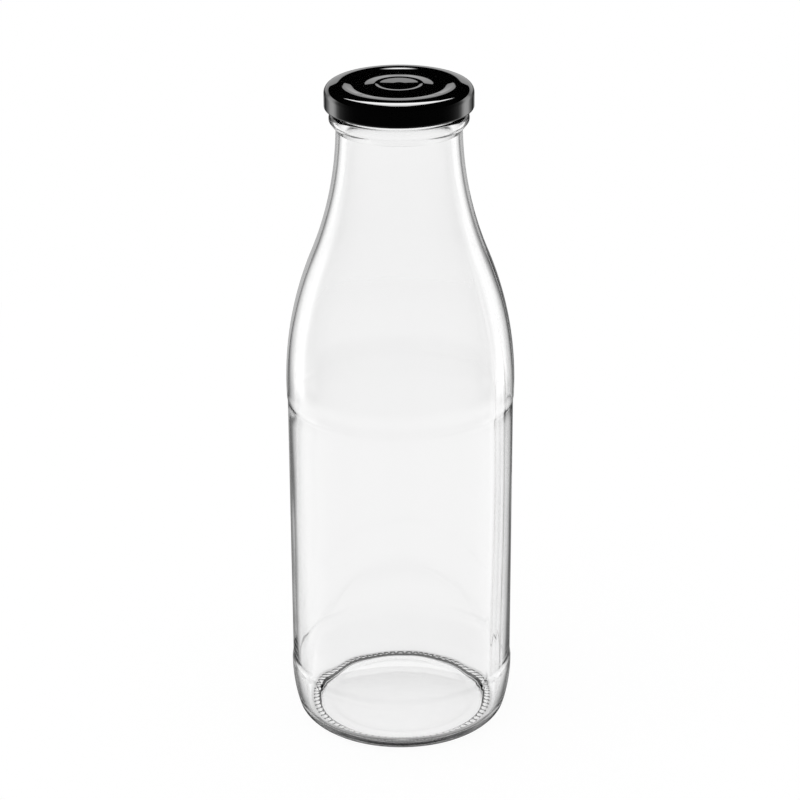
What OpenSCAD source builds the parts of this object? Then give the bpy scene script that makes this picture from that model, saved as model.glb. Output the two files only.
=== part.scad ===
// Glass milk bottle with a four-lug twist-off lid.
// Millimetres, +Z up, the bottle's axis on Z and its foot on z = 0.
// The lid stands on the mouth with its lugs in the gaps between the glass threads, one turn of
// lid_twist short of tight, so it can be lifted straight off or turned down onto the threads.

/* [Body] */
// Diameter of the heel and shoulder bands, the widest part of the bottle
body_d = 80.1; // [70:0.1:95]
// How far the label panel is sunk below those bands
label_recess = 0.36; // [0.1:0.02:0.8]
// Height of the label panel between its two steps
label_h = 98.9; // [70:0.1:130]
// Height of each step from a band to the label panel
step_h = 1.5; // [0.8:0.1:4]
// Thickness of the glass in the body's side wall
body_wall = 2.6; // [1.8:0.1:4]

/* [Heel and base] */
// Height at which the heel is widest
heel_h = 19; // [14:0.5:30]
// Straight stretch from the heel's widest line up to the label panel's lower step
heel_land = 2.9; // [1:0.1:6]
// Radius of the heel's long curve
heel_r = 58; // [45:1:90]
// Radius of the corner between heel and foot
foot_corner_r = 4.5; // [2:0.1:7]
// Width of the flat ring that the bottle stands on
foot_ring_w = 4.2; // [2:0.1:8]
// Rise of the push-up in the middle of the base
punt_h = 4; // [2:0.1:8]
// Thickness of the glass where the base meets the side wall
base_t = 6; // [4:0.1:10]
// Radius of the corner inside, between floor and side wall
floor_corner_r = 10; // [5:0.5:16]

/* [Shoulder and neck] */
// Straight stretch from the label panel's upper step to the shoulder's widest line
shoulder_land = 5.2; // [2:0.1:12]
// Rise of the double curve from the shoulder's widest line to the narrowest line of the neck
shoulder_rise = 94.1; // [70:0.1:130]
// Diameter of the neck at its narrowest
neck_d = 43; // [36:0.1:46]
// Thickness of the glass in the neck
neck_wall = 2.9; // [2:0.1:4.5]

/* [Finish] */
// Diameter of the bead under the lid
bead_d = 47.7; // [46.5:0.1:49]
// How far the bead's lower edge reaches below the narrowest line of the neck
bead_drop = 2.1; // [0:0.1:4]
// Height of the bead from its lower edge to its rounded top
bead_h = 6.1; // [5:0.1:8]
// Lean of the bead's lower flank from upright, degrees
bead_flank = 37; // [25:1:50]
// Diameter of the glass cylinder that carries the threads
finish_d = 44; // [42.5:0.1:44.6]
// Height of that cylinder from the top of the bead to the sealing rim
finish_h = 8.3; // [7.8:0.1:9.4]
// Radius on both edges of the sealing rim
rim_edge_r = 1.2; // [0.5:0.1:1.4]

/* [Threads] */
// Number of thread starts on the glass, and of lugs on the lid
starts = 4; // [3:1:5]
// Diameter over the threads
thread_d = 47; // [46:0.1:47.6]
// Height of a thread where it leaves the glass
thread_root_h = 2; // [1.4:0.1:2.2]
// Height of a thread at its crest
thread_crest_h = 0.9; // [0.4:0.1:1.2]
// Angle of the gently rising part that a lug hooks under
thread_grip = 46; // [30:1:50]
// Angle of the steep run-out down to the bead, which stops the lug
thread_runout = 18; // [8:1:20]
// Rise of the gentle part from end to end
thread_rise = 2.1; // [1:0.1:2.4]
// Direction, seen from above, of the low end of the first thread
thread_from = -65; // [-90:1:90]

/* [Lid] */
// Outer diameter of the lid's skirt
lid_d = 50.8; // [49.8:0.1:52]
// Height of the lid
lid_h = 8.2; // [7.8:0.1:9.4]
// Thickness of the tinplate
sheet_t = 0.25; // [0.15:0.01:0.35]
// Outer radius of the bend between crown and skirt
crown_r = 2.2; // [1.4:0.1:2.8]
// Diameter of the recessed panel at its floor
panel_d = 34; // [28:0.1:35]
// Width of the slope from the panel's floor up to the crown
recess_w = 2.1; // [1.4:0.1:2.4]
// Depth of the recessed panel below the crown
recess_h = 0.8; // [0.4:0.05:1.1]
// Diameter over the safety button in the panel
button_d = 17.1; // [12:0.1:22]
// Width of the button's sloping edge
button_edge = 1.9; // [1:0.1:3]
// Height of the button above the panel
button_h = 0.35; // [0.15:0.05:0.5]
// Outer radius of the rolled edge at the foot of the skirt
curl_r = 0.65; // [0.5:0.01:0.75]
// How far round the rolled edge goes, degrees
curl_turn = 250; // [200:5:270]

/* [Lugs and travel] */
// Diameter inside the lugs
lug_d = 45.2; // [44.8:0.1:45.8]
// Height of a lug
lug_h = 1.1; // [0.8:0.05:1.2]
// Angle that a lug takes up
lug_angle = 13; // [8:0.5:15]
// Gap between the top of a lug and the thread above it when the lid is tight
lug_gap = 0.12; // [0.05:0.01:0.3]
// How far a tight lug stays from the foot of the run-out, degrees
lug_stop = 2.5; // [1:0.5:5]

/* [Seal] */
// Thickness of the sealing ring
seal_t = 1.05; // [0.6:0.05:1.4]
// How far the ring reaches inside the sealing rim's inner edge
seal_lap = 0; // [-0.4:0.1:0.4]
// Gap between the ring and the rim, and between the ring and the tinplate
seal_gap = 0.05; // [0.02:0.01:0.1]

/* [Hidden] */
$fn = 96;
// Steps in each drawn arc
arc_steps = 16;
// Steps in the shoulder's long arcs
long_steps = 28;
// Angle between two rings of a thread
thread_step = 4;
// How deep a thread's foot is sunk into the glass
thread_sink = 0.6;
// Angle over which a thread's end tapers away
thread_taper = 6;
// Radius of the bead's fillet and of its rounded edge
bead_round = 1.5;

body_r = body_d / 2;
label_r = body_r - label_recess;
inside_r = label_r - body_wall;
neck_r = neck_d / 2;
mouth_r = neck_r - neck_wall;
bead_r = bead_d / 2;
finish_r = finish_d / 2;

// Heights, from the foot up
label_z0 = heel_h + heel_land + step_h;
label_z1 = label_z0 + label_h;
band_z = label_z1 + step_h;
shoulder_z = band_z + shoulder_land;
neck_z = shoulder_z + shoulder_rise;
bead_z = neck_z - bead_drop;
bead_top = bead_z + bead_h;
rim_z = bead_top + finish_h;

// Foot: the corner touches the heel's curve from inside
foot_c = [body_r - heel_r + sqrt(pow(heel_r - foot_corner_r, 2) - pow(heel_h - foot_corner_r, 2)),
          foot_corner_r];
foot_a = asin((foot_corner_r - heel_h) / (heel_r - foot_corner_r));
punt_r = foot_c[0] - foot_ring_w;
punt_dome_r = (punt_r * punt_r + punt_h * punt_h) / (2 * punt_h);
floor_r = inside_r - floor_corner_r;
floor_dome_r = (floor_r * floor_r + punt_h * punt_h) / (2 * punt_h);

// Lid, seated on the ring that lies on the rim
seal_z = rim_z + seal_gap;
lid_top = seal_z + seal_t + seal_gap + sheet_t;
lid_z = lid_top - lid_h;
lid_r = lid_d / 2;
panel_z = lid_top - recess_h;
panel_r = panel_d / 2;
curl_c = [lid_r - curl_r, lid_z + curl_r];
lug_r = lug_d / 2;
lug_z = curl_c[1] - lug_h / 2;

// Threads, set from the lug that they pull down
pitch = 360 / starts;
thread_span = thread_runout + thread_grip;
grip_low = lug_z + lug_h + lug_gap + thread_root_h / 2;
grip_z = grip_low - thread_rise * lug_stop / thread_grip;
runout_z = bead_top + thread_root_h / 2;
lug_rest = thread_from + (thread_span + pitch) / 2;
lid_twist = lug_rest - (thread_from + thread_runout + lug_stop + lug_angle / 2);

// Points along an arc about c
function arc(c, r, a0, a1, steps = arc_steps) =
    [for (i = [0:steps]) let (a = a0 + (a1 - a0) * i / steps) [c[0] + r * cos(a), c[1] + r * sin(a)]];

// Double curve of two equal arcs that rises from [r0, z0] to [r1, z1], r1 < r0, upright at both ends.
// The lower arc starts a stretch below z0, on the same circle.
function ogee(r0, z0, r1, z1, below = 0) =
    let (h = z1 - z0,
         d = r0 - r1,
         r = (h * h + d * d) / (4 * d),
         a = asin(h / (2 * r)))
    concat(arc([r0 - r, z0], r, -asin(below / r), a, long_steps),
           arc([r1 + r, z1], r, 180 + a, 180, long_steps));

// Double curve in sheet metal, level at both ends, from [r0, z0] out to [r1, z1], set inward by t
function sheet_step(r0, z0, r1, z1, t) =
    let (d = r1 - r0,
         h = abs(z1 - z0),
         r = (h * h + d * d) / (4 * h),
         a = asin(d / (2 * r)))
    z1 > z0
    ? concat(arc([r0, z0 + r], r + t, -90, a - 90, 8), arc([r1, z1 - r], r - t, 90 + a, 90, 8))
    : concat(arc([r0, z0 - r], r - t, 90, 90 - a, 8), arc([r1, z1 + r], r + t, 270 - a, 270, 8));

// The bottle's outer line from the push-up to the sealing rim, without the bead
function glass_outside() = concat(
    arc([0, punt_h - punt_dome_r], punt_dome_r, 90, acos(punt_r / punt_dome_r)),
    arc(foot_c, foot_corner_r, -90, foot_a),
    arc([body_r - heel_r, heel_h], heel_r, foot_a, asin(heel_land / heel_r)),
    [[label_r, label_z0], [label_r, label_z1]],
    ogee(body_r, shoulder_z, neck_r, neck_z, shoulder_land),
    [[neck_r, bead_z + bead_h / 2], [finish_r, bead_z + bead_h / 2]],
    arc([finish_r - rim_edge_r, rim_z - rim_edge_r], rim_edge_r, 0, 90),
    [[0, rim_z]]);

// The bottle's inner line from the middle of the floor up through the mouth
function glass_inside() = concat(
    arc([0, base_t + punt_h - floor_dome_r], floor_dome_r, 90, acos(floor_r / floor_dome_r)),
    arc([floor_r, base_t + floor_corner_r], floor_corner_r, -90, 0),
    ogee(inside_r, shoulder_z, mouth_r, neck_z),
    arc([mouth_r + rim_edge_r, rim_z - rim_edge_r], rim_edge_r, 180, 90),
    [[mouth_r + rim_edge_r, lid_top], [0, lid_top]]);

// The bead: a fillet off the neck, a leaning flank, a rounded rim and a sloping top
function bead_outline() =
    let (s = bead_round * sin(bead_flank),
         c = bead_round * (1 - cos(bead_flank)),
         flank_w = bead_r - neck_r - 2 * c,
         flank_h = flank_w / tan(bead_flank),
         edge_z = bead_z + 2 * s + flank_h,
         top_r = bead_top - edge_z)
    concat([[neck_r - neck_wall / 2, bead_z]],
           arc([neck_r + bead_round, bead_z], bead_round, 180, 180 - bead_flank, 8),
           arc([bead_r - bead_round, edge_z], bead_round, -bead_flank, 0, 8),
           arc([bead_r - top_r, edge_z], top_r, 0, 90, 8),
           [[neck_r - neck_wall / 2, bead_top]]);

// Height of a thread's middle at an angle from its low end
function thread_z(a) =
    a < thread_runout
    ? runout_z + (grip_z - runout_z) * a / thread_runout
    : grip_z + thread_rise * (a - thread_runout) / thread_grip;

// Radius of a thread's crest at an angle from its low end
function thread_r(a) =
    let (share = min(1, a / thread_taper, (thread_span - a) / thread_taper))
    finish_r - thread_sink / 2 + (thread_d / 2 - finish_r + thread_sink / 2) * share;

// One thread as a ridge swept round the finish
module thread() {
    steps = ceil(thread_span / thread_step);
    foot = finish_r - thread_sink;
    rings = [for (i = [0:steps])
        let (a = thread_span * i / steps, z = thread_z(a), r = thread_r(a))
        [for (p = [[foot, z - thread_root_h / 2], [r, z - thread_crest_h / 2],
                   [r, z + thread_crest_h / 2], [foot, z + thread_root_h / 2]])
            [p[0] * cos(a), p[0] * sin(a), p[1]]]];
    points = [for (ring = rings) each ring];
    sides = [for (i = [0:steps - 1], k = [0:3])
        [4 * i + k, 4 * i + (k + 1) % 4, 4 * i + 4 + (k + 1) % 4, 4 * i + 4 + k]];
    polyhedron(points, concat([[3, 2, 1, 0]], sides, [[for (k = [0:3]) 4 * steps + k]]), convexity = 4);
}

// The moulded bottle
module glass_bottle() {
    color([0.86, 0.9, 0.9, 0.35]) {
        rotate_extrude() difference() {
            union() {
                polygon(glass_outside());
                polygon(bead_outline());
            }
            polygon(glass_inside());
        }
        for (i = [0:starts - 1]) rotate([0, 0, thread_from + i * pitch]) thread();
    }
}

// The lid's line from the middle of the button to the end of the rolled edge, set inward by t
function lid_line(t) = concat(
    [[0, panel_z + button_h - t]],
    sheet_step(button_d / 2 - button_edge, panel_z + button_h, button_d / 2, panel_z, t),
    sheet_step(panel_r, panel_z, panel_r + recess_w, lid_top, t),
    arc([lid_r - crown_r, lid_top - crown_r], crown_r - t, 90, 0),
    arc(curl_c, curl_r - t, 0, -curl_turn));

function reversed(list) = [for (i = [len(list) - 1:-1:0]) list[i]];

// One lug: the rolled edge pressed in towards the glass
module lug() {
    rotate([0, 0, -lug_angle / 2]) rotate_extrude(angle = lug_angle) {
        translate([lug_r + lug_h / 2, curl_c[1]]) circle(lug_h / 2);
        translate([lug_r + lug_h / 2, lug_z]) square([curl_c[0] - curl_r + sheet_t - lug_r - lug_h / 2, lug_h]);
    }
}

// The pressed tinplate lid with its lugs
module lid_shell() {
    color([0.05, 0.05, 0.05]) {
        rotate_extrude() polygon(concat(lid_line(0), reversed(lid_line(sheet_t))));
        for (i = [0:starts - 1]) rotate([0, 0, lug_rest + i * pitch]) lug();
    }
}

// The sealing ring in the channel under the crown: it follows the tinplate and lies on the rim
module lid_seal() {
    t = sheet_t + seal_gap;
    slope = sheet_step(panel_r, panel_z, panel_r + recess_w, lid_top, t);
    in_r = mouth_r + rim_edge_r / 2 - seal_lap;
    corner_r = crown_r - t;
    drop = lid_top - crown_r - seal_z;
    color([0.85, 0.84, 0.8]) rotate_extrude() polygon(concat(
        [[in_r, seal_z]],
        [for (p = slope) if (p[0] > in_r) p],
        arc([lid_r - crown_r, lid_top - crown_r], corner_r, 90, -asin(drop / corner_r))));
}

glass_bottle();
lid_shell();
lid_seal();
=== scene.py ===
# %% [markdown]
# # A clear glass milk bottle with a black twist-off lid
#
# This lesson dresses a packed frame in three pieces: the blown glass bottle, the lacquered
# tinplate lid, and the soft ring that seals the lid on the mouth. The frame already knows where
# each piece stands and how it moves, so the lesson is about surfaces and finishes only.

# %% Load the frame
import bpy
import numpy as np
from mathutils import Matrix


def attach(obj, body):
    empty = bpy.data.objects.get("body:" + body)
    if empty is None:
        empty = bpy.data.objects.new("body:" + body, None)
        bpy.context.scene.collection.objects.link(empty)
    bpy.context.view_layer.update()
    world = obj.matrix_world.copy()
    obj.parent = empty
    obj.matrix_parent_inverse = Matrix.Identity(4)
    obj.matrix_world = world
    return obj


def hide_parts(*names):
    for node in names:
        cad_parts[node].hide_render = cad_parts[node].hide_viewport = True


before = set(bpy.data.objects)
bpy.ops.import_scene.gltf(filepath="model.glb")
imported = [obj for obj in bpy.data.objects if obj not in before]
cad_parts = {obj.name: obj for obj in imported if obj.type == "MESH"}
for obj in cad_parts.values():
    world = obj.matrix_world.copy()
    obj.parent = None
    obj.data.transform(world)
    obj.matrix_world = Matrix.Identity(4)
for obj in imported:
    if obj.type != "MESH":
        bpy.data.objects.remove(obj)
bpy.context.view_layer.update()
scene = bpy.context.scene

# %% [markdown]
# ## The camera
#
# A bottle looks right when its upright lines hardly converge, which needs a long lens a good way
# off. The camera stands 0.85 m in front and 0.49 m up, and looks down by 23.5 degrees. It could
# be aimed with a Track To constraint, but a matrix written once is easier to check.

# %% Place the camera
from mathutils import Euler, Matrix, Vector

pitch_down = 23.461
roll = -0.0047
lens_mm, sensor_mm = 118.79, 36.0
stand = Vector((0.0, -0.8545, 0.49169))
cam_data = bpy.data.cameras.new("camera")
cam_data.lens = lens_mm
cam_data.sensor_width = sensor_mm
cam_data.shift_x = -0.00052
cam = bpy.data.objects.new("camera", cam_data)
scene.collection.objects.link(cam)
look = Euler((np.radians(90.0 - pitch_down), 0.0, 0.0)).to_matrix().to_4x4()
cam.matrix_world = Matrix.Translation(stand) @ look @ Matrix.Rotation(roll, 4, "Z")
scene.camera = cam
scene.view_settings.view_transform = "Standard"
print("camera at", tuple(round(v, 4) for v in cam.matrix_world.translation))

# %% [markdown]
# ## Bounces
#
# Light that enters a thick glass foot turns back many times before it leaves. With too few
# bounces those places go black, so the limits are raised.

# %% Let light travel through the glass
scene.cycles.max_bounces = 24
scene.cycles.transmission_bounces = 20
scene.cycles.glossy_bounces = 12
print("bounces", scene.cycles.max_bounces)

# %% [markdown]
# ## A short hand for nodes
#
# The studio and every finish are node trees. They could be wired by hand in the Shader Editor.
# Written as a small class, a tree reads as the sum that it works out.

# %% Node helpers


class Nodes:
    """A short hand for building one node tree."""

    def __init__(self, tree):
        self.tree = tree
        tree.nodes.clear()

    def add(self, kind, **settings):
        """Adds a node; each setting is a property of it."""
        node = self.tree.nodes.new(kind)
        for name, value in settings.items():
            setattr(node, name, value)
        return node

    def put(self, socket, value):
        """Links an output to an input, or writes a plain value on it."""
        if isinstance(value, bpy.types.NodeSocket):
            self.tree.links.new(value, socket)
        elif value is not None:
            socket.default_value = value

    def math(self, operation, a, b=None):
        """One Math node on one or two values."""
        node = self.add("ShaderNodeMath", operation=operation)
        for socket, value in zip(node.inputs, (a, b)):
            self.put(socket, value)
        return node.outputs[0]

    def product(self, first, *others):
        """All the values multiplied together."""
        for value in others:
            first = self.math("MULTIPLY", first, value)
        return first

    def mix(self, share, a, b):
        """The value a where share is 0, b where it is 1, and a blend between."""
        node = self.add("ShaderNodeMix", data_type="FLOAT")
        for place, value in ((0, share), (2, a), (3, b)):
            self.put(node.inputs[place], value)
        return node.outputs[0]

    def ease(self, value, low, high, start=0.0, end=1.0):
        """Goes smoothly from start at low to end at high."""
        node = self.add("ShaderNodeMapRange", interpolation_type="SMOOTHSTEP")
        for name, v in (("Value", value), ("From Min", low), ("From Max", high),
                        ("To Min", start), ("To Max", end)):
            self.put(node.inputs[name], v)
        return node.outputs["Result"]

    def ramp(self, value, stops):
        """A grey curve through the given places from 0 to 1."""
        node = self.add("ShaderNodeValToRGB")
        line = node.color_ramp
        line.elements[0].position = stops[0][0]
        line.elements[1].position = stops[-1][0]
        for place, _ in stops[1:-1]:
            line.elements.new(place)
        for element, (_, grey) in zip(line.elements, stops):
            element.color = (grey, grey, grey, 1.0)
        self.put(node.inputs[0], value)
        return node.outputs["Color"]


print("node helpers", [name for name in vars(Nodes) if not name.startswith("_")])

# %% [markdown]
# ## The studio
#
# Glass and black lacquer have hardly any colour of their own. What is seen is the room: straight
# through the glass it is the white backdrop, and in every reflection it is the soft box overhead,
# the lit backdrop behind and the dark room in front. The room could be built from cards and area
# lamps, but then each one is also seen through the glass. Here the world answers by the kind of
# ray: a ray that was never reflected sees white, a reflected one sees the room, and a matt
# surface gets an even soft light.

# %% Tell rays and directions apart
world = bpy.data.worlds.new("studio")
scene.world = world
world.use_nodes = True
world.cycles.sampling_method = "NONE"
w = Nodes(world.node_tree)
path = w.add("ShaderNodeLightPath")
never_reflected = w.math("LESS_THAN", path.outputs["Glossy Depth"], 0.5)
never_inside = w.math("LESS_THAN", path.outputs["Transmission Depth"], 0.5)
off_matt = w.math("GREATER_THAN", path.outputs["Diffuse Depth"], 0.5)
split = w.add("ShaderNodeSeparateXYZ")
w.put(split.inputs[0], w.add("ShaderNodeTexCoord").outputs["Generated"])
east, north, up = split.outputs
to_side = w.math("ABSOLUTE", w.math("ARCTAN2", east, north))
height = w.math("ARCSINE", up)
print("kinds of ray", ["never reflected", "never inside the glass", "off a matt surface"])

# %% [markdown]
# ## The lights round the room
#
# A glass edge is drawn by what stands beside the backdrop: a dark gap, then a strip light 35 to
# 65 degrees to the left and right. Three curves go round the room, from straight behind at 0
# degrees to the camera's side at 180: the lights at level height, those seen low, after turns
# inside the glass, and the share of both that a first reflection off an outer skin sees. The
# backdrop and the soft box are plain windows of height and side angle.

# %% Light the room
level_lights = [(0, 0.68), (17, 0.66), (21, 0.45), (25, 0.06), (29, 0.18), (34, 0.55), (41, 0.75),
                (48, 0.94), (60, 1.08), (66, 0.8), (71, 0.33), (78, 0.12), (90, 0.05),
                (110, 0.015), (180, 0.01)]
low_lights = [(0, 0.74), (5, 0.69), (10, 0.55), (15, 0.33), (20, 0.13), (25, 0.15), (30, 0.40),
              (36, 0.60), (45, 0.64), (52, 0.52), (58, 0.47), (66, 0.56), (80, 0.56),
              (120, 0.5), (180, 0.45)]
skin_share = [(0, 0.5), (25, 0.5), (32, 0.4), (42, 1.0), (50, 2.2), (58, 2.6), (72, 2.9),
              (86, 2.2), (100, 1.2), (120, 0.5), (180, 0.3)]


def round_room(stops):
    """The light by the angle from straight behind, from a list of (degrees, strength)."""
    return w.ramp(w.math("DIVIDE", to_side, np.pi), [(a / 180.0, v) for a, v in stops])


under_card_top = w.ease(height, 0.276, 0.282, 1.0, 0.0)
below_level = w.ease(height, -0.42, -0.36, 1.0, 0.0)
dimmer_underfoot = w.ease(height, -0.7, -0.5, 0.7, 1.0)
lights = w.mix(below_level, w.product(round_room(level_lights), under_card_top),
               round_room(low_lights))
lights = w.product(lights, dimmer_underfoot, w.mix(never_inside, 1.0, round_room(skin_share)))
card = w.product(under_card_top, w.ease(height, -0.06, 0.03), w.ease(to_side, 0.9, 1.2, 1.0, 0.0))
box_strength = 11.0
box = w.product(w.ease(height, 0.69, 0.73), w.ease(height, 1.36, 1.44, 1.0, 0.0),
                w.ease(to_side, 0.46, 0.54, 1.0, 0.0), box_strength, never_inside)
room = w.math("ADD", w.math("MAXIMUM", lights, card), box)
print("lights round the room", len(level_lights), len(low_lights), len(skin_share))

# %% Let the world answer
even_light = 0.6
white = 1.0
seen = w.mix(off_matt, w.mix(never_reflected, room, white), even_light)
background = w.add("ShaderNodeBackground")
background.inputs["Color"].default_value = (1.0, 1.0, 1.0, 1.0)
w.put(background.inputs["Strength"], seen)
w.put(w.add("ShaderNodeOutputWorld").inputs["Surface"], background.outputs[0])
print("world nodes", len(world.node_tree.nodes))

# %% [markdown]
# ## The floor and the lamp
#
# The bottle stands on a pale disc that takes a soft shadow from one lamp. Most of its light is
# its own, so it runs into the white backdrop without an edge. A plain white disc would also show
# in reflections, so a reflected ray passes through it and sees the room. A ray that comes through
# the glass finds a painted pool of light, full white under the base in place of the light the
# base gathers, a little dimmer beyond it, and painted shade from ambient occlusion in the narrow
# gap beside the foot.

# %% Lay the floor


def surface(name, vertices, faces):
    """A mesh object at the origin from vertex and face arrays, shaded smooth."""
    mesh = bpy.data.meshes.new(name)
    mesh.from_pydata(vertices, [], faces)
    mesh.polygons.foreach_set("use_smooth", np.ones(len(mesh.polygons), bool))
    mesh.update()
    piece = bpy.data.objects.new(name, mesh)
    scene.collection.objects.link(piece)
    return piece


floor_r, floor_z, floor_corners = 0.45, -0.0002, 96
around = np.linspace(0.0, 2.0 * np.pi, floor_corners, endpoint=False)
floor_edge = np.stack([floor_r * np.cos(around), floor_r * np.sin(around),
                       np.full(floor_corners, floor_z)], axis=1)
floor = surface("floor", floor_edge.tolist(), [list(range(floor_corners))])
print("floor radius", floor_r)

# %% Paint the floor
floor_paint = bpy.data.materials.new("floor_paint")
floor_paint.use_nodes = True
f = Nodes(floor_paint.node_tree)
path = f.add("ShaderNodeLightPath")
through_glass = f.math("GREATER_THAN", path.outputs["Transmission Depth"], 0.5)
in_reflection = f.math("GREATER_THAN", path.outputs["Glossy Depth"], 0.5)
gap = f.add("ShaderNodeAmbientOcclusion", samples=8)
gap.inputs["Distance"].default_value = 0.0012
from_axis = f.add("ShaderNodeVectorMath", operation="LENGTH")
f.put(from_axis.inputs[0], f.add("ShaderNodeTexCoord").outputs["Object"])
# painted light: the glow is full under the base and dimmer beyond, by distance from the axis alone
painted_light_pool = f.ease(from_axis.outputs["Value"], 0.026, 0.034, 1.0, 0.92)
# painted shade: ambient occlusion darkens the glow in the narrow gap beside the foot
painted_shade_beside_foot = f.ease(gap.outputs["AO"], 0.1, 0.6, 0.7, 1.0)
own_light = 0.93
glow = f.add("ShaderNodeEmission")
# the painted light and painted shade are seen only through the glass; a straight view gets the even
# own light
f.put(glow.inputs["Strength"], f.mix(through_glass, own_light, f.product(painted_light_pool, painted_shade_beside_foot)))
chalk = f.add("ShaderNodeBsdfDiffuse")
chalk.inputs["Color"].default_value = (0.11, 0.11, 0.11, 1.0)
both = f.add("ShaderNodeAddShader")
f.put(both.inputs[0], glow.outputs[0])
f.put(both.inputs[1], chalk.outputs[0])
gone = f.add("ShaderNodeMixShader")
f.put(gone.inputs[0], in_reflection)
f.put(gone.inputs[1], both.outputs[0])
f.put(gone.inputs[2], f.add("ShaderNodeBsdfTransparent").outputs[0])
f.put(f.add("ShaderNodeOutputMaterial").inputs["Surface"], gone.outputs[0])
floor.data.materials.append(floor_paint)
print("floor nodes", len(floor_paint.node_tree.nodes))

# %% Hang the lamp
lamp_at, lamp_aim = Vector((-0.35, -0.25, 1.2)), Vector((0.0, 0.0, 0.1))
lamp_data = bpy.data.lights.new("soft_lamp", "AREA")
lamp_data.shape = "SQUARE"
lamp_data.size = 0.7
lamp_data.energy = 1.2
lamp = bpy.data.objects.new("soft_lamp", lamp_data)
scene.collection.objects.link(lamp)
lamp.location = lamp_at
lamp.rotation_euler = (lamp_aim - lamp_at).to_track_quat("-Z", "Y").to_euler()
lamp.visible_camera = False
lamp.visible_glossy = False
lamp.visible_transmission = False
print("lamp of", lamp_data.energy, "W")

# %% [markdown]
# ## Lines that are turned
#
# Every piece here is round, so each one starts as a line of radius and height, drawn in
# millimetres. The line could be a curve object under a Screw modifier. As an array it can be
# shaped by formula at each angle, which the threads and the foot need.

# %% Parts of a line


def bow(cx, cz, r, a0, a1, n):
    """Points (cx + r cos a, cz + r sin a) while a goes from a0 to a1 degrees."""
    a = np.radians(np.linspace(a0, a1, n))
    return np.stack([cx + r * np.cos(a), cz + r * np.sin(a)], axis=1)


def rule(p, q, n):
    """n points on the straight line from p to q."""
    return np.linspace(p, q, n)


def shoulder_bow(r0, z0, r1, z1, below, n):
    """Two equal arcs from (r0, z0) to (r1, z1), upright at both ends.

    With height h and step d, each arc has the radius (h h + d d) / (4 d). The lower arc runs on
    for below millimetres under z0."""
    h, d = z1 - z0, r0 - r1
    r = (h * h + d * d) / (4.0 * d)
    a = np.degrees(np.arcsin(h / (2.0 * r)))
    low = bow(r0 - r, z0, r, -np.degrees(np.arcsin(below / r)), a, n)
    return np.concatenate([low, bow(r1 + r, z1, r, 180.0 + a, 180.0, n)[1:]])


def chain(*parts):
    """One line from several, without doubled points."""
    line = np.concatenate(parts)
    apart = np.linalg.norm(np.diff(line, axis=0), axis=1) > 0.02
    return line[np.concatenate([[True], apart])]


def smooth(t):
    """0 below 0, 1 above 1, and 3 t t - 2 t t t between."""
    t = np.clip(t, 0.0, 1.0)
    return t * t * (3.0 - 2.0 * t)


print("smooth at a quarter", smooth(0.25))

# %% [markdown]
# ## The glass line
#
# The bottle's outside runs from the middle of the push-up underneath, over the ring it stands on,
# round the heel, up the slightly sunk label panel and the long shoulder, and out over the bead to
# the threads. The inside comes back down from the mouth. Both are one closed line, because
# light bends rightly only in a solid with an outside and an inside.

# %% Sizes of the bottle, in millimetres
body_r, label_r, wall = 40.05, 39.69, 2.6
heel_h, heel_r, foot_r, corner_r = 19.0, 58.0, 33.55, 4.5
punt_r, punt_h, base_t = 30.4, 4.0, 3.0
foot_w, foot_rise = 2.4, 1.3
label_low, label_high, step_h = 22.5, 121.7, 3.5
shoulder_z, shoulder_tuck, neck_z = 129.0, 5.2, 223.1
neck_r, mouth_r = 21.5, 18.6
bead_r, bead_z, bead_top, root_r = 23.85, 221.0, 227.1, 0.5
flank_a, edge_r, ledge = 37.0, 1.5, 0.4
finish_r, rim_z, lip_r = 22.0, 235.4, 1.2
print("body", 2.0 * body_r, "wide, glass", rim_z, "high")

# %% Draw the foot and the body


def label_step(line):
    """The panel: the radius sinks by 0.36 mm between its two soft steps."""
    r, z = line[:, 0], line[:, 1]
    sunk = smooth((z - label_low + step_h) / step_h) * smooth((label_high + step_h - z) / step_h)
    return np.stack([r - (body_r - label_r) * sunk, z], axis=1)


heel_a = np.degrees(np.arcsin((corner_r - heel_h) / (heel_r - corner_r)))
dome_r = (punt_r ** 2 + punt_h ** 2) / (2.0 * punt_h)
dome_a = np.degrees(np.arccos(punt_r / dome_r))
under = bow(0.0, punt_h - dome_r, dome_r, 90.0, dome_a + 2.0, 12)
foot_mid = punt_r + foot_w
foot_in = bow(0.0, 0.0, 1.0, 180.0, 270.0, 14) * (foot_w, foot_rise) + (foot_mid, foot_rise)
foot_flat = rule((foot_mid, 0.0), (foot_r, 0.0), 4)
corner = bow(foot_r, corner_r, corner_r, -90.0, heel_a, 14)
heel = bow(body_r - heel_r, heel_h, heel_r, heel_a, 0.0, 18)
step_low = rule((body_r, label_low - step_h + 0.2), (body_r, label_low), 9)
panel = rule((body_r, label_low), (body_r, label_high), 18)
step_high = rule((body_r, label_high), (body_r, shoulder_z - shoulder_tuck - 0.1), 9)
body_part = label_step(chain(heel, step_low, panel, step_high))
print("the ring stands on radius", foot_mid, "to", foot_r)

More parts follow.
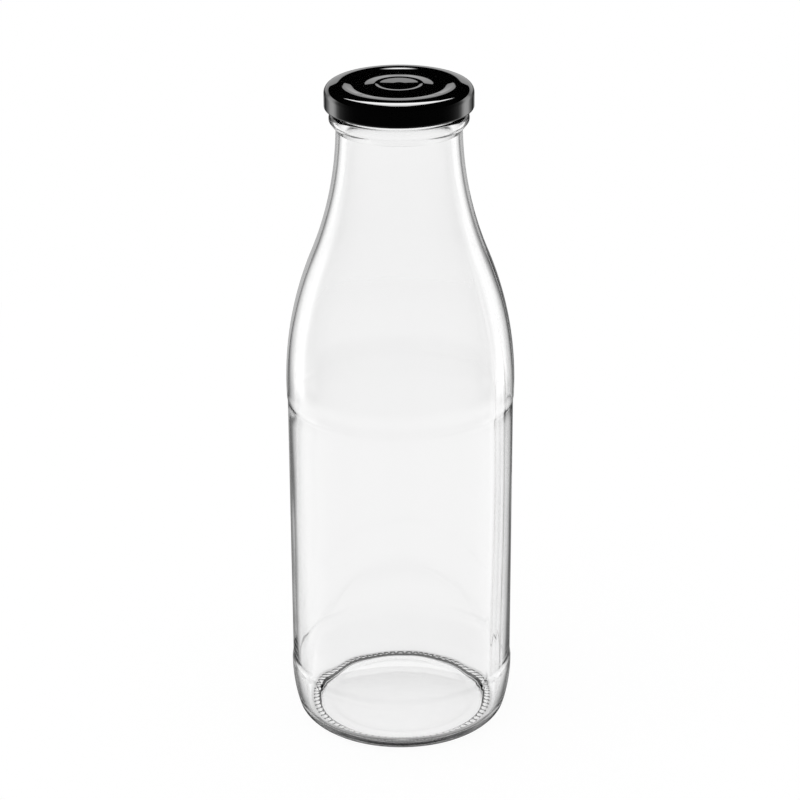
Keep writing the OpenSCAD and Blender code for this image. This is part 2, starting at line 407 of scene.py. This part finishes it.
# %% Draw the shoulder, the bead and the mouth
shoulder = shoulder_bow(body_r, shoulder_z, neck_r, neck_z, shoulder_tuck, 30)
bead_in = bow(neck_r + root_r, bead_z, root_r, 180.0, 180.0 - flank_a, 6)
flank_cos, flank_sin = np.cos(np.radians(flank_a)), np.sin(np.radians(flank_a))
flank_h = ((bead_r - neck_r - (root_r + edge_r) * (1.0 - flank_cos))
           / np.tan(np.radians(flank_a)))
edge_z = bead_z + (root_r + edge_r) * flank_sin + flank_h
bead_edge = bow(bead_r - edge_r, edge_z, edge_r, -flank_a, 0.0, 6)
ledge_r = finish_r + ledge
bead_over = (bow(0.0, 0.0, 1.0, 0.0, 90.0, 9) * (bead_r - ledge_r, bead_top - edge_z)
             + (ledge_r, edge_z))
bead_root = bow(ledge_r, bead_top + ledge, ledge, -90.0, -180.0, 4)
finish = rule((finish_r, bead_top + ledge), (finish_r, rim_z - lip_r), 27)
lip_out = bow(finish_r - lip_r, rim_z - lip_r, lip_r, 0.0, 90.0, 8)
outside = chain(under, foot_in, foot_flat, corner, body_part, shoulder[shoulder[:, 1] < bead_z],
                bead_in, bead_edge, bead_over, bead_root, finish, lip_out)
print("outside points", len(outside), "height", outside[:, 1].max())

# %% [markdown]
# ## The inside
#
# The inside follows the outside at the wall's thickness, round the heel too. Its soft steps stand
# 0.9 mm lower, where a ray that enters at the outer step comes out, so they don't bend the view.
# A Solidify modifier would give the wall in one go, but not the thicker base or the upright
# throat. A blown wall is never even, so it gets its ripples later, on the turned surface.

# %% Draw the inside
inside_r, floor_corner = body_r - wall, 4.0
cove_far, cove_drop = heel_r - wall - floor_corner, heel_h - base_t - floor_corner
flat_r = body_r - heel_r + np.sqrt(cove_far ** 2 - cove_drop ** 2)
cove_a = -np.degrees(np.arcsin(cove_drop / cove_far))
push_r = (flat_r ** 2 + punt_h ** 2) / (2.0 * punt_h)
lip_in = bow(mouth_r + lip_r, rim_z - lip_r, lip_r, 90.0, 180.0, 8)
throat = rule((mouth_r, rim_z - lip_r), (mouth_r, neck_z), 10)
funnel = shoulder_bow(inside_r, shoulder_z, mouth_r, neck_z, 0.0, 30)[::-1]
well = chain(rule((inside_r, shoulder_z), (inside_r, label_high - 0.2), 10),
             rule((inside_r, label_high - 0.2), (inside_r, label_low + 0.2), 18),
             rule((inside_r, label_low + 0.2), (inside_r, heel_h), 10),
             bow(body_r - heel_r, heel_h, heel_r - wall, 0.0, cove_a, 7))
step_lower = np.array([0.0, 0.9])
well = label_step(well + step_lower) - step_lower
cove = bow(flat_r, base_t + floor_corner, floor_corner, cove_a, -90.0, 14)
push = bow(0.0, base_t + punt_h - push_r, push_r, np.degrees(np.arccos(flat_r / push_r)), 90.0, 14)
inside = chain(lip_in, throat, funnel, well, cove, push)
print("inside points", len(inside))

# %% [markdown]
# ## Turning a line
#
# A line turned about the upright axis is a grid: rows along the line, columns round it. The two
# ends of a closed glass line meet the axis, and each is closed with one point, a pole. The row
# band at the foot gets three times as many columns, because its fine ribs need them.

# %% Turn a line into a grid


def turned(line, columns):
    """The grid point of row i and column j is (r_i cos a_j, r_i sin a_j, z_i)."""
    a = np.linspace(0.0, 2.0 * np.pi, columns, endpoint=False)
    r, z = line[:, 0][:, None], line[:, 1][:, None]
    return np.stack([r * np.cos(a), r * np.sin(a), z + 0.0 * a], axis=2)


def radial(grid, out, lift=0.0):
    """Moves each point of a grid outward by out and up by lift, both arrays or numbers."""
    r = np.hypot(grid[..., 0], grid[..., 1])
    share = (r + out) / np.maximum(r, 1e-6)
    return np.stack([grid[..., 0] * share, grid[..., 1] * share, grid[..., 2] + lift], axis=2)


print("a grid of the outside", turned(outside, 8).shape)

# %% Cover a grid with faces


def weave(rows, columns, start, flip=False):
    """Quads between neighbouring rows of a closed grid whose first point has the number start."""
    i, j = np.meshgrid(np.arange(rows - 1), np.arange(columns), indexing="ij")
    k = (j + 1) % columns
    quads = np.stack([i * columns + j, i * columns + k, (i + 1) * columns + k,
                      (i + 1) * columns + j], axis=2).reshape(-1, 4) + start
    return quads[:, ::-1] if flip else quads


def stitch(low, high, fine):
    """Faces between a row and the next, where one has three times the other's columns.

    Each coarse edge j, j+1 faces the fine points 3j to 3j+3; fine says that high is the finer."""
    few, many = (low, high) if fine else (high, low)
    n = len(few)
    j = np.arange(n)
    a, b = few[j], few[(j + 1) % n]
    m = [many[(3 * j + s) % (3 * n)] for s in range(4)]
    out = [np.stack([a, m[1], m[0]], axis=1), np.stack([a, b, m[2], m[1]], axis=1),
           np.stack([b, m[3], m[2]], axis=1)]
    return [f if fine else f[:, ::-1] for f in out]


def fan(pole, row, flip=False):
    """Triangles from a pole to a row."""
    tri = np.stack([np.full(len(row), pole), row, np.roll(row, -1)], axis=1)
    return tri[:, ::-1] if flip else tri


print("faces of a small grid", len(weave(3, 8, 0)))

# %% [markdown]
# ## The foot's ribs, the threads and the uneven wall
#
# The ring that the bottle stands on is ribbed so that hot glass doesn't chill on the belt. The
# ribs are shallow hollows between narrow lands that stay on the floor. The threads are four short
# right-handed starts that rise to the right under the lid's lugs. They could be swept along
# helices and joined with a Boolean, but a formula that pushes the grid outward leaves one clean
# skin. The wall's inside is wavy, with two faint upright seams, as blown glass is.

# %% Ribs and threads
ribs, rib_depth = 80, 0.9
starts, thread_from, runout, grip = 4, -65.0, 18.0, 46.0
grip_z, runout_z, rise, crest_r = 230.81, 228.1, 2.1, 23.5


def rib_lift(grid):
    """Hollows up to the ribs' depth: a cosine round the ring times a bump across it."""
    r = np.hypot(grid[..., 0], grid[..., 1])
    a = np.arctan2(grid[..., 1], grid[..., 0])
    across = smooth((r - punt_r - 0.1) / 0.6) * smooth((33.6 - r) / 0.9)
    wave = smooth(0.5 + 0.62 * np.cos(ribs * a + 0.9 * np.sin(3.0 * a)))
    return rib_depth * across * wave


def thread_out(grid):
    """How far the nearest thread stands out of the finish.

    Its middle climbs from the run-out to the grip height, then gently on. Across it the ridge is
    full over 0.84 mm and fades to nothing over 0.6 mm either side."""
    a = np.degrees(np.arctan2(grid[..., 1], grid[..., 0]))
    a = (a - thread_from) % (360.0 / starts)
    z = grid[..., 2]
    middle = np.where(a < runout, runout_z + (grip_z - runout_z) * a / runout,
                      grip_z + rise * (a - runout) / grip)
    ends = smooth(a / 5.0) * smooth((runout + grip - a) / 5.0)
    return (crest_r - finish_r) * ends * smooth((1.02 - np.abs(z - middle)) / 0.6)


print("threads stand out by", crest_r - finish_r)

# %% The uneven wall


def ripple(grid):
    """The unevenness of a blown wall, in millimetres.

    Slow waves round it and up it, finer ones over them, and two upright seams that wander."""
    a = np.arctan2(grid[..., 1], grid[..., 0])
    z = grid[..., 2]
    slow = 0.22 * np.sin(2.0 * a + 0.6 + 0.011 * z) + 0.10 * np.sin(3.0 * a - 1.1 + 0.017 * z)
    fine = 0.05 * np.sin(9.0 * a + 0.02 * z) + 0.03 * np.sin(17.0 * a - 0.03 * z + 1.0)
    fine = fine + 0.02 * np.sin(0.21 * z + 2.0 * a) * np.cos(5.0 * a)
    seam = 0.16 * smooth(1.0 - np.abs(a + 0.60 + 0.02 * np.sin(0.05 * z)) / 0.045)
    seam = seam + 0.10 * smooth(1.0 - np.abs(a + 0.42 + 0.03 * np.sin(0.04 * z + 1.0)) / 0.03)
    fade = smooth((z - 14.0) / 16.0) * smooth((205.0 - z) / 60.0)
    return fade * (slow + fine + seam)


print("ripple of the well", round(float(np.abs(ripple(turned(well, 90))).max()), 3))

# %% [markdown]
# ## The bottle as one skin
#
# The line is cut into three blocks: the push-up with few columns, the foot ring with many, and
# all the rest with few again. Each block is bent by its own formula, and stitches and fans close
# the skin. The volume is printed as a test: it is positive only when all faces point outwards.

# %% Bend the blocks
coarse = 240
line = chain(outside, inside)
first_fine = 9
last_fine = first_fine + 14 + 4 + 9
lower = turned(line[1:first_fine], coarse)
middle = turned(line[first_fine:last_fine + 1], 3 * coarse)
middle = radial(middle, 0.0, rib_lift(middle))
upper = turned(line[last_fine + 1:-1], coarse)
is_out = (np.arange(last_fine + 1, len(line) - 1) < len(outside))[:, None]
on_finish = is_out & (upper[..., 2] > bead_top + 0.3)
upper = radial(upper, np.where(on_finish, thread_out(upper), 0.0)
               + np.where(is_out, 0.0, ripple(upper)))
print("rows", len(lower), len(middle), len(upper))

# %% Join the blocks
points = [[[0.0, 0.0, line[0, 1]]], lower.reshape(-1, 3), middle.reshape(-1, 3),
          upper.reshape(-1, 3), [[0.0, 0.0, line[-1, 1]]]]
offsets = np.cumsum([0] + [len(p) for p in points])
few, many = np.arange(coarse), np.arange(3 * coarse)
faces = [fan(0, offsets[1] + few, True),
         weave(len(lower), coarse, offsets[1])]
faces += stitch(offsets[2] - coarse + few, offsets[2] + many, True)
faces += [weave(len(middle), 3 * coarse, offsets[2])]
faces += stitch(offsets[3] - 3 * coarse + many, offsets[3] + few, False)
faces += [weave(len(upper), coarse, offsets[3]),
          fan(offsets[4], offsets[4] - coarse + few)]
glass = surface("bottle_glass", (np.concatenate(points) * 0.001).tolist(),
                [q for f in faces for q in f.tolist()])


def volume(piece):
    """Triangles, and the signed volume in cubic centimetres: positive when faces point out."""
    mesh = piece.data
    mesh.calc_loop_triangles()
    tri = np.empty(len(mesh.loop_triangles) * 3, np.int32)
    mesh.loop_triangles.foreach_get("vertices", tri)
    co = np.empty(len(mesh.vertices) * 3)
    mesh.vertices.foreach_get("co", co)
    a, b, c = co.reshape(-1, 3)[tri.reshape(-1, 3)].transpose(1, 0, 2)
    return len(tri) // 3, 1e6 * np.einsum("ij,ij->", a, np.cross(b, c)) / 6.0


print("glass triangles and volume", volume(glass))

# %% [markdown]
# ## The lid
#
# The lid is pressed from lacquered tinplate 0.25 mm thick: a button inside a fine ring groove, a
# low cone round it, a flat panel, a recess wall, a rounded crown, an upright skirt and a rolled
# edge whose four lugs are pressed in under the threads. Its gloss shows every slope, so the top
# is drawn by its slopes, which are summed to heights. Drawn by heights, small errors would show
# as wrong reflections.

# %% Draw the lid
lid_r, lid_top, lid_low, sheet = 25.4, 236.8, 228.6, 0.25
curl_r, crown_r, crown_from = 0.65, 2.8, 74.0
# radius, and degrees by which the top falls outward there
slopes = np.array([(0.0, 0.0), (1.2, 0.0), (2.0, 1.0), (6.4, 1.4), (6.8, 0.5), (7.5, -8.0),
                   (7.9, -8.0), (8.3, 7.0), (11.3, 7.0), (11.7, 0.0), (15.8, 0.0), (16.3, -10.0),
                   (17.3, -12.0), (18.2, -13.0), (18.7, -3.0), (20.3, 0.0), (21.0, 5.5),
                   (22.0, 10.0), (23.3, 16.0)])
slope_r, slope_a = slopes.T
crown_in = lid_r - crown_r + crown_r * np.cos(np.radians(crown_from))
top_r = np.unique(np.concatenate([np.linspace(0.0, crown_in, 60), slope_r]))
fall = np.tan(np.radians(np.interp(top_r, slope_r, slope_a)))
drop = np.concatenate([[0.0], np.cumsum(0.5 * (fall[1:] + fall[:-1]) * np.diff(top_r))])
top_z = lid_top - drop + drop.min()
top = np.stack([top_r, top_z], axis=1)
crown_z = top_z[-1] - crown_r * np.sin(np.radians(crown_from))
crown = bow(lid_r - crown_r, crown_z, crown_r, crown_from, 0.0, 20)
skirt = rule((lid_r, crown_z), (lid_r, lid_low + curl_r), 12)
curl = bow(lid_r - curl_r, lid_low + curl_r, curl_r, 0.0, -250.0, 22)
outer_line = chain(top, crown, skirt, curl)
print("lid top height", top_z.max(), "button", top_z[0])

# %% Give the sheet its thickness


def inset(line, t):
    """The line moved by t to its right-hand side, square to its own direction."""
    d = np.gradient(line, axis=0)
    d = d / np.linalg.norm(d, axis=1, keepdims=True)
    return line + t * np.stack([d[:, 1], -d[:, 0]], axis=1)


inner_line = inset(outer_line, sheet)
inner_line[0, 0] = 0.0
lid_line = np.concatenate([outer_line, inner_line[::-1]])
print("lid line points", len(lid_line))

# %% Turn the lid and press in its lugs
lid_columns, lug_turn, lug_depth = 240, 12.0, 1.45


def lug_in(grid):
    """Moves the inner half of the rolled edge in by the lugs' depth inside four windows."""
    a = np.degrees(np.arctan2(grid[..., 1], grid[..., 0]))
    off = np.abs((a - lug_turn + 45.0) % 90.0 - 45.0)
    window = smooth((8.5 - off) / 3.0)
    r, z = np.hypot(grid[..., 0], grid[..., 1]), grid[..., 2]
    inner = smooth((24.95 - r) / 0.7) * smooth((231.0 - z) / 0.8)
    return -lug_depth * window * inner


lid_grid = turned(lid_line[1:-1], lid_columns)
lid_grid = radial(lid_grid, lug_in(lid_grid))
lid_rows = len(lid_grid)
lid_xyz = np.concatenate([[[0.0, 0.0, lid_line[0, 1]]], lid_grid.reshape(-1, 3),
                          [[0.0, 0.0, lid_line[-1, 1]]]]) * 0.001
first_row = 1 + np.arange(lid_columns)
last_row = first_row + (lid_rows - 1) * lid_columns
lid_faces = (weave(lid_rows, lid_columns, 1, True).tolist() + fan(0, first_row).tolist()
             + fan(1 + lid_rows * lid_columns, last_row, True).tolist())
lid = surface("lid_tinplate", lid_xyz.tolist(), lid_faces)
print("lid triangles and volume", volume(lid))

# %% [markdown]
# ## The sealing ring
#
# The ring is a soft compound that is run into the lid's channel while it spins and then baked. It
# fills the corner under the crown, and its flat underside lies on the glass rim. It could be a
# torus pushed into place. Cut from the lid's own inner line, it fits the channel exactly.

# %% Draw and turn the ring
seal_z, seal_gap = 235.46, 0.05
under_lid = inset(outer_line, sheet + seal_gap)
in_channel = (under_lid[:, 0] > 19.7) & (under_lid[:, 0] < 24.9) & (under_lid[:, 1] > seal_z + 0.1)
roof = under_lid[in_channel]
sole = rule((roof[-1, 0] - 0.1, seal_z), (roof[0, 0] - 0.1, seal_z), 20)
seal_columns = 240
seal_grid = turned(chain(roof, sole, roof[:1])[:-1], seal_columns)
seal_rows = len(seal_grid)
seal_first = np.arange(seal_columns)
seal_last = seal_first + (seal_rows - 1) * seal_columns
closing = np.stack([seal_first, np.roll(seal_first, -1), np.roll(seal_last, -1), seal_last], axis=1)
seal = surface("sealing_ring", (seal_grid.reshape(-1, 3) * 0.001).tolist(),
               weave(seal_rows, seal_columns, 0, True).tolist() + closing.tolist())
print("ring triangles and volume", volume(seal))

# %% [markdown]
# ## The glass finish
#
# Soda glass is clear and colourless, and a blown skin is smooth but never flat. A Glass node
# would do, but a Principled one at full transmission keeps its values when it is exported. The
# bump is stretched upwards, as the skin was, and the roughness wanders a little. All patterns
# here read Object coordinates, which are metres, so a noise scale of 100 is a pattern of about
# 10 mm.

# %% Clear glass


def finish_tree(name):
    """A material with a cleared tree, its Principled node and its output."""
    paint = bpy.data.materials.new(name)
    paint.use_nodes = True
    n = Nodes(paint.node_tree)
    skin = n.add("ShaderNodeBsdfPrincipled")
    n.put(n.add("ShaderNodeOutputMaterial").inputs["Surface"], skin.outputs[0])
    return paint, n, skin


def noise(n, scale, detail, stretch=(1.0, 1.0, 1.0)):
    """A noise on Object coordinates, stretched by a Mapping node."""
    place = n.add("ShaderNodeMapping")
    n.put(place.inputs["Vector"], n.add("ShaderNodeTexCoord").outputs["Object"])
    place.inputs["Scale"].default_value = stretch
    cloud = n.add("ShaderNodeTexNoise")
    n.put(cloud.inputs["Vector"], place.outputs[0])
    cloud.inputs["Scale"].default_value = scale
    cloud.inputs["Detail"].default_value = detail
    return cloud.outputs["Fac"]


def relief(n, height, depth, strength):
    """A Bump node from a height and its depth in metres."""
    bump = n.add("ShaderNodeBump")
    bump.inputs["Strength"].default_value = strength
    bump.inputs["Distance"].default_value = depth
    n.put(bump.inputs["Height"], height)
    return bump.outputs[0]


clear, n, skin = finish_tree("clear_glass")
skin.inputs["Base Color"].default_value = (1.0, 1.0, 1.0, 1.0)
skin.inputs["IOR"].default_value = 1.46
skin.inputs["Transmission Weight"].default_value = 1.0
n.put(skin.inputs["Roughness"], n.ease(noise(n, 60.0, 3.0), 0.35, 0.75, 0.0, 0.015))
n.put(skin.inputs["Normal"], relief(n, noise(n, 55.0, 2.0, (1.0, 1.0, 0.35)), 0.0002, 0.35))
glass.data.materials.append(clear)
print("glass nodes", len(clear.node_tree.nodes))

# %% [markdown]
# ## The lid's lacquer
#
# The tinplate is coated flat and baked before it is pressed, in a black that is almost a mirror.
# It could be a metal with a clear coat over it, but the lacquer hides the metal, so a black base
# with a very fine, shallow orange peel is enough.

# %% Black lacquer
lacquer, n, skin = finish_tree("lid_lacquer")
skin.inputs["Base Color"].default_value = (0.0012, 0.0012, 0.0012, 1.0)
skin.inputs["IOR"].default_value = 1.5
n.put(skin.inputs["Roughness"], n.ease(noise(n, 900.0, 3.0), 0.3, 0.8, 0.005, 0.03))
n.put(skin.inputs["Normal"], relief(n, noise(n, 420.0, 2.0), 0.000004, 0.2))
lid.data.materials.append(lacquer)
print("lacquer nodes", len(lacquer.node_tree.nodes))

# %% [markdown]
# ## The compound's finish
#
# The ring is a cream, rubbery compound with a dull, faintly grained skin. A subsurface colour
# would suit it too, but so thin a ring in the dark under a lid shows none of it.

# %% Sealing compound
compound, n, skin = finish_tree("seal_compound")
tone = n.add("ShaderNodeMix", data_type="RGBA")
n.put(tone.inputs[0], noise(n, 300.0, 4.0))
tone.inputs[6].default_value = (0.80, 0.78, 0.72, 1.0)
tone.inputs[7].default_value = (0.70, 0.68, 0.62, 1.0)
n.put(skin.inputs["Base Color"], tone.outputs[2])
n.put(skin.inputs["Roughness"], n.ease(noise(n, 700.0, 3.0), 0.3, 0.8, 0.45, 0.6))
n.put(skin.inputs["Normal"], relief(n, noise(n, 900.0, 3.0), 0.00004, 0.3))
seal.data.materials.append(compound)
print("compound nodes", len(compound.node_tree.nodes))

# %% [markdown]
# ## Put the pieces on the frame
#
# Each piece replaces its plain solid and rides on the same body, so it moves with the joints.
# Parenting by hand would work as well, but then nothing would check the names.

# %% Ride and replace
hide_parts("glass_bottle")
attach(glass, "bottle")
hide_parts("lid_seal")
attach(seal, "seal")
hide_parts("lid_shell")
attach(lid, "lid")
print("pieces", [piece.name for piece in (glass, seal, lid)])
